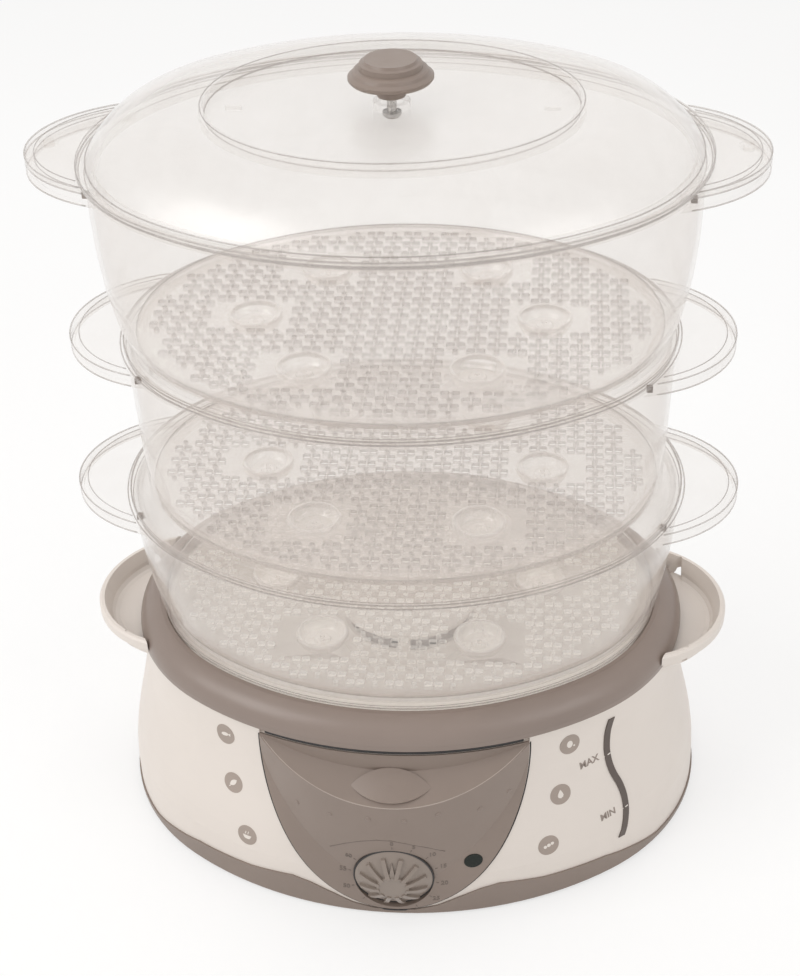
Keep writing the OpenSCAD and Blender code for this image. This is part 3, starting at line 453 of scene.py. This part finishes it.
def bead(bm, path, r, closed=True, sides=6):
    """Thin round bead along points in millimetres."""
    rings = []
    n = len(path)
    for i, here in enumerate(path):
        a = path[(i - 1) % n] if closed or i else here
        b = path[(i + 1) % n] if closed or i < n - 1 else here
        along = (Vector(b) - Vector(a)).normalized()
        out = along.cross(Vector((0, 0, 1))).normalized()
        over = out.cross(along)
        rings.append([bm.verts.new((Vector(here) + out * r * math.cos(2 * math.pi * k / sides)
                                    + over * r * math.sin(2 * math.pi * k / sides)) * MM) for k in range(sides)])
    for i in range(n if closed else n - 1):
        a, b = rings[i], rings[(i + 1) % n]
        for k in range(sides):
            bm.faces.new((a[k], a[(k + 1) % sides], b[(k + 1) % sides], b[k]))
    if not closed:
        bm.faces.new(rings[0])
        bm.faces.new(rings[-1])


def oval_ring(bm, a, z, r):
    """Bead round the oval whose half length is a."""
    bead(bm, [(x, y, z) for x, y in oval_points(a, 32)], r)


def ellipse_ring(bm, rx, ry, z, r):
    """Bead round an ellipse."""
    bead(bm, [(rx * math.cos(math.pi * i / 48), ry * math.sin(math.pi * i / 48), z) for i in range(96)], r)


def ear_arcs(bm, tip, inset, rim_a, z, r):
    """Arc round each ear, from rim to rim."""
    rx, ry = tip - EAR_X - inset, EAR_HALF_W - inset
    for side in (-1, 1):
        turns = [math.radians(-90 + 2.5 * i) for i in range(73)]
        path = [(side * (EAR_X + rx * math.cos(t)), ry * math.sin(t), z) for t in turns]
        bead(bm, [p for p in path if not in_oval(p[0], p[1], rim_a)], r, False)


def bead_piece(name, body, make, kind="clear_bead_painted_shade"):
    """The beads that make draws, as one smooth piece."""
    bm = bmesh.new()
    make(bm)
    bmesh.ops.recalc_face_normals(bm, faces=bm.faces)
    mesh = bpy.data.meshes.new(name)
    bm.to_mesh(mesh)
    bm.free()
    for p in mesh.polygons:
        p.use_smooth = True
    piece(name, mesh, kind, body)


# tray: height of its rim, half length of its rim, reach of its ears, half length and height of its bottom flange
TRAYS = {"lower": (173.0, 131.5, 156.0, 120.5, 107.0), "middle": (252.5, 126.0, 150.0, 130.0, 173.0),
         "upper": (337.0, 134.0, 158.5, 124.5, 252.5)}
# a tray's beads: inset, distance down from the rim or up from the flange, radius
RIM_BEADS = ((0.3, 0.35, 0.34), (2.6, 2.1, 0.26))
FLANGE_BEADS = ((0.3, 0.4, 0.34), (0.5, 1.6, 0.2))
EAR_BEADS = ((0.35, 0.35, 0.34), (4.4, 0.05, 0.26), (0.4, 5.7, 0.3))
# the lid's beads: half length or half axes or inset, height, radius
LID_RIM_BEADS = ((134.7, 339.2, 0.34), (134.6, 337.5, 0.42), (130.6, 339.7, 0.3))
LID_PANEL_BEADS = ((80.4, 66.4, 360.4, 0.3), (78.8, 64.8, 356.7, 0.34))
LID_EAR_BEADS = ((0.35, 339.1, 0.34), (4.4, 339.45, 0.26))
LID_EAR_TIP, LID_RIM_A = 158.5, 135.0
FLOOR_BEAD_INSET, FLOOR_BEAD_R = 0.4, 0.34


def tray_beads(bm, top, rim_a, tip, flange_a, low):
    for inset, drop, r in RIM_BEADS:
        oval_ring(bm, rim_a - inset, top - drop, r)
    for inset, rise, r in FLANGE_BEADS:
        oval_ring(bm, flange_a - inset, low + rise, r)
    for inset, drop, r in EAR_BEADS:
        ear_arcs(bm, tip, inset, rim_a, top - drop, r)


def lid_beads(bm):
    for a, z, r in LID_RIM_BEADS:
        oval_ring(bm, a, z, r)
    for rx, ry, z, r in LID_PANEL_BEADS:
        ellipse_ring(bm, rx, ry, z, r)
    for inset, z, r in LID_EAR_BEADS:
        ear_arcs(bm, LID_EAR_TIP, inset, LID_RIM_A, z, r)


for level, sizes in TRAYS.items():
    bead_piece("rim_beads_" + level, "tray_" + level, lambda bm, sizes=sizes: tray_beads(bm, *sizes))
bead_piece("rim_beads_lid", "lid", lid_beads)
for level, z in FLOORS.items():
    bead_piece("floor_bead_" + level, "floor_" + level,
               lambda bm, z=z: oval_ring(bm, FLOOR_A - FLOOR_BEAD_INSET, z + FLOOR_T, FLOOR_BEAD_R))


# ---------------------------------------------------------------- marks that lie on the housing and the panel
def surface_of(*names):
    """Search tree over the faces of some CAD nodes, in the object's frame."""
    verts, faces = [], []
    for name in names:
        obj = nodes[name]
        base = len(verts)
        verts += [obj.matrix_world @ v.co for v in obj.data.vertices]
        faces += [[base + i for i in p.vertices] for p in obj.data.polygons]
    return BVHTree.FromPolygons(verts, faces)


IN_FRONT, BACKWARDS = -0.4, Vector((0, 1, 0))
LAID_FROM, LAID_REACH = 0.012, 0.03


def seen_from_front(tree, x, z):
    """Point of the surface straight behind (x, z), given in millimetres, and its normal."""
    place, normal, _, _ = tree.ray_cast(Vector((x * MM, IN_FRONT, z * MM)), BACKWARDS)
    return place, normal


def hit_frame(tree, x, z):
    """Point of the surface straight behind (x, z), with its sideways, upward and outward directions."""
    place, normal = seen_from_front(tree, x, z)
    if normal.y > 0:
        normal = -normal
    side = Vector((0, 0, 1)).cross(normal).normalized()
    return place, side, normal.cross(side), normal


def laid(tree, at, p, lift):
    """A flat point of a mark, in millimetres, laid on the surface."""
    place, side, rise, normal = at
    start = place + side * p[0] * MM + rise * p[1] * MM + normal * LAID_FROM
    found = tree.ray_cast(start, -normal, LAID_REACH)[0]
    return None if found is None else found + normal * lift * MM


def mark(name, tree, at, shapes, kind, body, lift=0.14, under=0.12):
    """Marks made of flat faces [(points, triangles)], laid on a surface as thin solids."""
    bm = bmesh.new()
    for points, tris in shapes:
        spots = [laid(tree, at, p, lift) for p in points]
        if any(q is None for q in spots):
            continue
        top = [bm.verts.new(q) for q in spots]
        low = [bm.verts.new(q - at[3] * (lift + under) * MM) for q in spots]
        seen = {}
        for a, b, c in tris:
            bm.faces.new((top[a], top[b], top[c]))
            bm.faces.new((low[c], low[b], low[a]))
            for e in ((a, b), (b, c), (c, a)):
                seen[tuple(sorted(e))] = seen.get(tuple(sorted(e)), []) + [e]
        for edges in seen.values():
            if len(edges) == 1:
                a, b = edges[0]
                bm.faces.new((top[b], top[a], low[a], low[b]))
    if not bm.faces:
        bm.free()
        return None
    mesh = bpy.data.meshes.new(name)
    bm.to_mesh(mesh)
    bm.free()
    return piece(name, mesh, kind, body)


def outline(points, move=(0, 0), turn=0.0):
    """Flat shape inside one outline."""
    c, s = math.cos(turn), math.sin(turn)
    points = [(x * c - y * s + move[0], x * s + y * c + move[1]) for x, y in points]
    tris = tessellate_polygon([[Vector((x, y, 0)) for x, y in points]])
    fixed = []
    for a, b, c in tris:
        (ax, ay), (bx, by), (cx, cy) = points[a], points[b], points[c]
        turned = (bx - ax) * (cy - ay) - (by - ay) * (cx - ax)
        if abs(turned) > 1e-9:
            fixed.append((a, b, c) if turned > 0 else (a, c, b))
    return points, fixed


def disc(r, move=(0, 0), rings=2, steps=36):
    """Flat disc in rings of triangles, so that it follows a curved surface."""
    points = [move]
    tris = []
    for k in range(1, rings + 1):
        points += [(move[0] + r * k / rings * math.cos(2 * math.pi * i / steps),
                    move[1] + r * k / rings * math.sin(2 * math.pi * i / steps)) for i in range(steps)]
    for i in range(steps):
        j = (i + 1) % steps
        tris.append((0, 1 + i, 1 + j))
        for k in range(1, rings):
            a, b = 1 + (k - 1) * steps, 1 + k * steps
            tris += [(a + i, b + i, b + j), (a + i, b + j, a + j)]
    return points, tris


def blob(rx, ry, move=(0, 0), turn=0.0, point=0.0, steps=20):
    """Ellipse, drawn to a point at both ends as point grows to 1."""
    pts = []
    for i in range(steps):
        t = 2 * math.pi * i / steps
        pts.append((rx * math.cos(t), ry * math.sin(t) * (1 - point * abs(math.cos(t)) ** 3)))
    return outline(pts, move, turn)


def bar(x0, y0, x1, y1, w):
    """Flat straight stroke from one point to another."""
    dx, dy = x1 - x0, y1 - y0
    n = math.hypot(dx, dy)
    ox, oy = -dy / n * w / 2, dx / n * w / 2
    return outline([(x0 + ox, y0 + oy), (x0 - ox, y0 - oy), (x1 - ox, y1 - oy), (x1 + ox, y1 + oy)])


def letters(text, size, move=(0, 0), turn=0.0):
    """Flat shapes of a word, centred on move."""
    curve = bpy.data.curves.new("letters", "FONT")
    curve.body, curve.size, curve.align_x, curve.align_y = text, size, "CENTER", "CENTER"
    curve.resolution_u = 2
    curve.offset = 0.022 * size
    obj = bpy.data.objects.new("letters", curve)
    scene.collection.objects.link(obj)
    bpy.context.view_layer.update()
    mesh = obj.to_mesh()
    mesh.calc_loop_triangles()
    c, s = math.cos(turn), math.sin(turn)
    points = [(v.co.x * c - v.co.y * s + move[0], v.co.x * s + v.co.y * c + move[1]) for v in mesh.vertices]
    tris = []
    for t in mesh.loop_triangles:
        a, b, d = t.vertices
        (ax, ay), (bx, by), (cx, cy) = points[a], points[b], points[d]
        turned = (bx - ax) * (cy - ay) - (by - ay) * (cx - ax)
        if abs(turned) > 1e-9:
            tris.append((a, b, d) if turned > 0 else (a, d, b))
    obj.to_mesh_clear()
    bpy.data.objects.remove(obj)
    bpy.data.curves.remove(curve)
    return points, tris


wall = surface_of("housing")
front = surface_of("panel")

# six round food marks of plain make: fish, egg, leaf, drop, peas and bowl
FOODS = {
    "fish": [blob(2.1, 1.0, (-0.3, 0), 0.25), outline([(1.4, 0.4), (3.0, 1.5), (2.9, -0.4)])],
    "egg": [blob(1.5, 2.0), blob(0.5, 0.5, (2.3, -1.4))],
    "leaf": [blob(2.6, 1.25, (0, 0.2), 0.8, 0.75), bar(-1.4, -1.9, -2.2, -2.6, 0.45)],
    "drop": [outline([(0, 2.6), (1.1, 0.7), (1.5, -0.6), (1.1, -1.6),
                      (0, -2.1), (-1.1, -1.6), (-1.5, -0.6), (-1.1, 0.7)])],
    "peas": [blob(0.85, 0.85, (-1.7, -0.5)), blob(0.95, 0.95, (0.1, 0.1)), blob(0.85, 0.85, (1.9, 0.7))],
    "bowl": [outline([(-2.4, 0), (2.4, 0), (1.6, -1.6), (0.8, -2.0), (-0.8, -2.0), (-1.6, -1.6)]),
             bar(-1.0, 0.7, -0.6, 2.3, 0.4), bar(0.4, 0.7, 0.8, 2.3, 0.4)],
}
FOOD_PLACES = {"fish": (-80, 80.0), "leaf": (-77.2, 55.5), "bowl": (-71.2, 30.6),
               "egg": (80.3, 80.4), "drop": (76.6, 55.6), "peas": (71.6, 31.0)}
FOOD_R = 5.3
for food, (x, z) in FOOD_PLACES.items():
    at = hit_frame(wall, x, z)
    mark("food_disc_" + food, wall, at, [disc(FOOD_R)], "ink", "base", lift=0.12)
    mark("food_sign_" + food, wall, at, FOODS[food], "pale", "base", lift=0.2, under=-0.04)

# water gauge: the word of each level, the place of its tick on the window and of the word beside it
GAUGE_MARKS = (("MAX", (98.0, 66.3), (89.6, 66.6)), ("MIN", (107.4, 34.7), (99.4, 35.2)))
gauge = surface_of("housing", "gauge_window")
for word, tick_place, word_place in GAUGE_MARKS:
    at = hit_frame(gauge, *tick_place)
    tick = bar(-1.9, -0.5, 1.9, 0.5, 0.55)
    mark("gauge_tick_" + word.lower(), gauge, at, [tick], "pale", "base", lift=0.22)
    at = hit_frame(wall, *word_place)
    mark("gauge_word_" + word.lower(), wall, at, [letters(word, 5.0, turn=0.1)], "word", "base")

# dial: ticks and plain numbers round the knob, and small raised pips under the crease
tilt = math.radians(KNOB_TILT)
dial = (Vector((0, KNOB_Y, KNOB_Z)) * MM, Vector((1, 0, 0)), Vector((0, -math.sin(tilt), math.cos(tilt))),
        Vector((0, -math.cos(tilt), -math.sin(tilt))))
DIAL_MINUTES, DIAL_STEP, MINUTE_TURN = 60, 5, 5
TICK_IN, TICK_OUT, TICK_W = 20.1, 21.3, 0.35
NUMBER_RX, NUMBER_RY, NUMBER_SIZE = 24.0, 23.6, 3.4
ticks, numbers = [], []
for minutes in range(0, DIAL_MINUTES + 1, DIAL_STEP):
    t = math.radians(minutes * MINUTE_TURN)
    s, c = math.sin(t), math.cos(t)
    ticks.append(bar(TICK_IN * s, TICK_IN * c, TICK_OUT * s, TICK_OUT * c, TICK_W))
    numbers.append(letters(str(minutes), NUMBER_SIZE, (NUMBER_RX * s, NUMBER_RY * c)))
mark("dial_ticks", front, dial, ticks, "ink_dark", "base")
mark("dial_numbers", front, dial, numbers, "ink_dark", "base")
PIPS = [(-44.4, 60.6), (-28.2, 61.5), (-10.2, 63.6), (6.2, 63.5), (21.6, 66.0), (40.2, 62.9), (53.1, 66.6)]
PIP_PROFILE = [(1.3, -0.3), (1.3, 0.05), (0.9, 0.45), (0, 0.6)]
for i, (x, z) in enumerate(PIPS):
    place = hit_frame(front, x, z)
    pip = lathe("pip", PIP_PROFILE, 20)
    turn = place[3].to_track_quat("Z", "Y").to_matrix().to_4x4()
    pip.transform(Matrix.Translation(place[0]) @ turn)
    piece(f"panel_pip_{i + 1}", pip, "taupe", "base")


# ---------------------------------------------------------------- lines on the panel, and painted shade in the gaps round it
def joint_piece(name, path, r, kind):
    """Open bead along points in millimetres, on the base."""
    bead_piece(name, "base", lambda bm: bead(bm, path, r, False, 8), kind)


# a painted highlight along the crease: a lighter bead that stands in for the light the crease catches
PANEL_HALF_W = 60.5
CREASE_Y, CREASE_Z, PROW_R, SHELF_SLOPE = -121.081, 71.5, 83.646, 18.5 / 27.4975
crest = []
for i in range(41):
    x = -PANEL_HALF_W + 2 * PANEL_HALF_W * i / 40
    y = PROW_R - math.sqrt(PROW_R ** 2 - x * x)
    crest.append((x, CREASE_Y + y + 0.08, CREASE_Z + y * SHELF_SLOPE - 0.12))
joint_piece("panel_crest", crest, 0.26, "crest")

# the arched line over the dial
ARCH = [(-29.5, 39.4), (-22.4, 44.2), (-14.6, 48.0), (-7.1, 50.1), (0, 50.2), (6.6, 48.4), (15.6, 45.2), (24.2, 40.9)]
arch = [seen_from_front(front, x, z)[0] for x, z in ARCH]
joint_piece("panel_arch", [tuple(v / MM for v in q) for q in arch], 0.22, "ink_dark")

# the joint between the panel and the shell: half of an ellipse as seen from the front
JOINT_RX, JOINT_RZ, JOINT_Z, JOINT_TURN = 62.5, 82.6, 86, 92
shell = surface_of("housing", "skirt")
edge = []
for i in range(81):
    t = math.radians(-JOINT_TURN + 2 * JOINT_TURN * i / 80)
    found = seen_from_front(shell, JOINT_RX * math.sin(t), JOINT_Z - JOINT_RZ * math.cos(t))[0]
    if found is not None:
        edge.append(tuple(v / MM for v in found))
joint_piece("panel_joint", edge, 0.32, "dark")

# a dark bead in the gap over the panel: painted shade
GAP_A, GAP_Z, GAP_R = 130.9, 90.9, 0.85
gap = [(x, y, GAP_Z) for x, y in oval_points(GAP_A, 60) if y < 0 and abs(x) < PANEL_HALF_W]
joint_piece("panel_gap", gap, GAP_R, "dark")

# a dark ring in the gap round the knob: painted shade
KNOB_GAP_R, KNOB_GAP_DEPTH, KNOB_GAP_LINE = 18.6, 1.2, 0.36
turns = [math.pi * i / 36 for i in range(72)]
bm = bmesh.new()
bead(bm, [(KNOB_GAP_R * math.cos(t), KNOB_GAP_R * math.sin(t), -KNOB_GAP_DEPTH) for t in turns], KNOB_GAP_LINE, True, 8)
bmesh.ops.recalc_face_normals(bm, faces=bm.faces)
bm.transform(Matrix.Translation(dial[0]) @ Matrix((dial[1], dial[2], dial[3])).transposed().to_4x4())
mesh = bpy.data.meshes.new("knob_gap")
bm.to_mesh(mesh)
bm.free()
piece("knob_gap", mesh, "dark", "base")

# ribs that end under the ears: height, place beside, place in front
RIBS = {"lid": (333.6, 124.5, -39.0), "tray_middle": (249.2, 110.3, -46.5), "tray_lower": (169.6, 120.4, -36.0)}
RIB_W, RIB_D, RIB_H = 2.6, 2.0, 2.8


def block(bm, cx, cy, cz, w, d, h):
    """Block of a width, depth and height round its middle."""
    corners = [bm.verts.new(((cx + sx * w / 2) * MM, (cy + sy * d / 2) * MM, (cz + sz * h / 2) * MM))
               for sz in (-1, 1) for sx, sy in ((-1, -1), (1, -1), (1, 1), (-1, 1))]
    for f in ((3, 2, 1, 0), (4, 5, 6, 7), (0, 1, 5, 4), (1, 2, 6, 5), (2, 3, 7, 6), (3, 0, 4, 7)):
        bm.faces.new([corners[i] for i in f])


for body, (z, x, y) in RIBS.items():
    bm = bmesh.new()
    for side in (-1, 1):
        block(bm, side * x, y, z, RIB_W, RIB_D, RIB_H)
    mesh = bpy.data.meshes.new("ribs")
    bm.to_mesh(mesh)
    bm.free()
    piece("ear_ribs_" + body, mesh, "ink_dark", body)

# ---------------------------------------------------------------- camera, floor and light
PITCH, ROLL, YAW = math.radians(34.14), math.radians(-2.11), math.radians(-5.90)
FOCAL_PIXELS, PHOTO_HEIGHT, SENSOR = 1838, 976, 36
CAMERA_PLACE = (72.0, -720.8, 655.2)
right = Vector((1, 0, 0))
ahead = Vector((0, math.cos(PITCH), -math.sin(PITCH)))
up = Vector((0, math.sin(PITCH), math.cos(PITCH)))
cam_right = right * math.cos(ROLL) + up * math.sin(ROLL)
cam_up = up * math.cos(ROLL) - right * math.sin(ROLL)
turn = Matrix.Rotation(-YAW, 3, "Z")
cam_right, cam_up, ahead = turn @ cam_right, turn @ cam_up, turn @ ahead
cam_data = bpy.data.cameras.new("camera")
cam = bpy.data.objects.new("camera", cam_data)
scene.collection.objects.link(cam)
# the photograph is taller than wide, so the sensor's size is that of its height
cam_data.lens = FOCAL_PIXELS / PHOTO_HEIGHT * SENSOR
cam_data.sensor_width = SENSOR
cam_data.clip_start, cam_data.clip_end = 0.05, 20
look = Matrix((cam_right, cam_up, -ahead)).transposed().to_4x4()
look.translation = Vector(CAMERA_PLACE) * MM
cam.matrix_world = look
scene.camera = cam

bm = bmesh.new()
bmesh.ops.create_grid(bm, x_segments=8, y_segments=8, size=6)
mesh = bpy.data.meshes.new("ground")
bm.to_mesh(mesh)
bm.free()
ground = bpy.data.objects.new("ground", mesh)
scene.collection.objects.link(ground)
t = Tree("ground")
seen = t.node("ShaderNodeLightPath")
any_seen = t.maths("MAXIMUM", seen.outputs["Is Camera Ray"],
                   t.maths("MAXIMUM", seen.outputs["Is Glossy Ray"], seen.outputs["Is Transmission Ray"]))
page = t.mix(t.ramp(t.noise(3.0), 0.3, 0.7, 0, 1), (0.93, 0.925, 0.92, 1), (0.95, 0.95, 0.945, 1))
matte = t.node("ShaderNodeBsdfDiffuse", Color=page)
white = t.node("ShaderNodeEmission", Color=(1, 1, 1, 1), Strength=1.0)
paper = t.node("ShaderNodeMixShader", Fac=t.maths("MULTIPLY", any_seen, 0.6))
t.nt.links.new(matte.outputs[0], paper.inputs[1])
t.nt.links.new(white.outputs[0], paper.inputs[2])
mesh.materials.append(t.end(paper.outputs[0]))

world = bpy.data.worlds.new("studio")
scene.world = world
world.use_nodes = True
wt = world.node_tree
wt.nodes.clear()
path = wt.nodes.new("ShaderNodeLightPath")
sky_seen = wt.nodes.new("ShaderNodeMath")
sky_seen.operation = "MAXIMUM"
wt.links.new(path.outputs["Is Camera Ray"], sky_seen.inputs[0])
wt.links.new(path.outputs["Is Transmission Ray"], sky_seen.inputs[1])
sky_mirrored = wt.nodes.new("ShaderNodeMath")
sky_mirrored.operation = "MAXIMUM"
wt.links.new(sky_seen.outputs[0], sky_mirrored.inputs[0])
wt.links.new(path.outputs["Is Glossy Ray"], sky_mirrored.inputs[1])
soft_bg = wt.nodes.new("ShaderNodeBackground")
soft_bg.inputs["Color"].default_value = (1.0, 0.985, 0.97, 1)
soft_bg.inputs["Strength"].default_value = 0.62
seen_bg = wt.nodes.new("ShaderNodeBackground")
seen_bg.inputs["Color"].default_value = (1, 1, 1, 1)
seen_bg.inputs["Strength"].default_value = 1.0
both_bg = wt.nodes.new("ShaderNodeMixShader")
wt.links.new(sky_mirrored.outputs[0], both_bg.inputs[0])
wt.links.new(soft_bg.outputs[0], both_bg.inputs[1])
wt.links.new(seen_bg.outputs[0], both_bg.inputs[2])
world_out = wt.nodes.new("ShaderNodeOutputWorld")
wt.links.new(both_bg.outputs[0], world_out.inputs["Surface"])


def area(name, place, target, size, watts, colour=(1, 1, 1)):
    """Rectangular lamp that faces a point."""
    data = bpy.data.lights.new(name, "AREA")
    data.shape = "RECTANGLE"
    data.size, data.size_y = size
    data.energy = watts
    data.color = colour
    obj = bpy.data.objects.new(name, data)
    scene.collection.objects.link(obj)
    obj.location = place
    obj.rotation_mode = "QUATERNION"
    obj.rotation_quaternion = (Vector(target) - Vector(place)).to_track_quat("-Z", "Y")
    return obj


area("key", (-1.6, -0.9, 1.6), (0, 0, 0.15), (1.4, 1.4), 19, (1, 0.985, 0.97))
area("fill", (1.4, -1.0, 1.2), (0, 0, 0.15), (1.1, 1.1), 6, (1, 0.98, 0.965))
area("top", (0.0, 0.35, 1.9), (0, 0, 0.3), (1.6, 1.2), 9).visible_glossy = False

scene.view_settings.view_transform = "Standard"
scene.cycles.max_bounces = 8
scene.cycles.glossy_bounces = 3
scene.cycles.transparent_max_bounces = 64
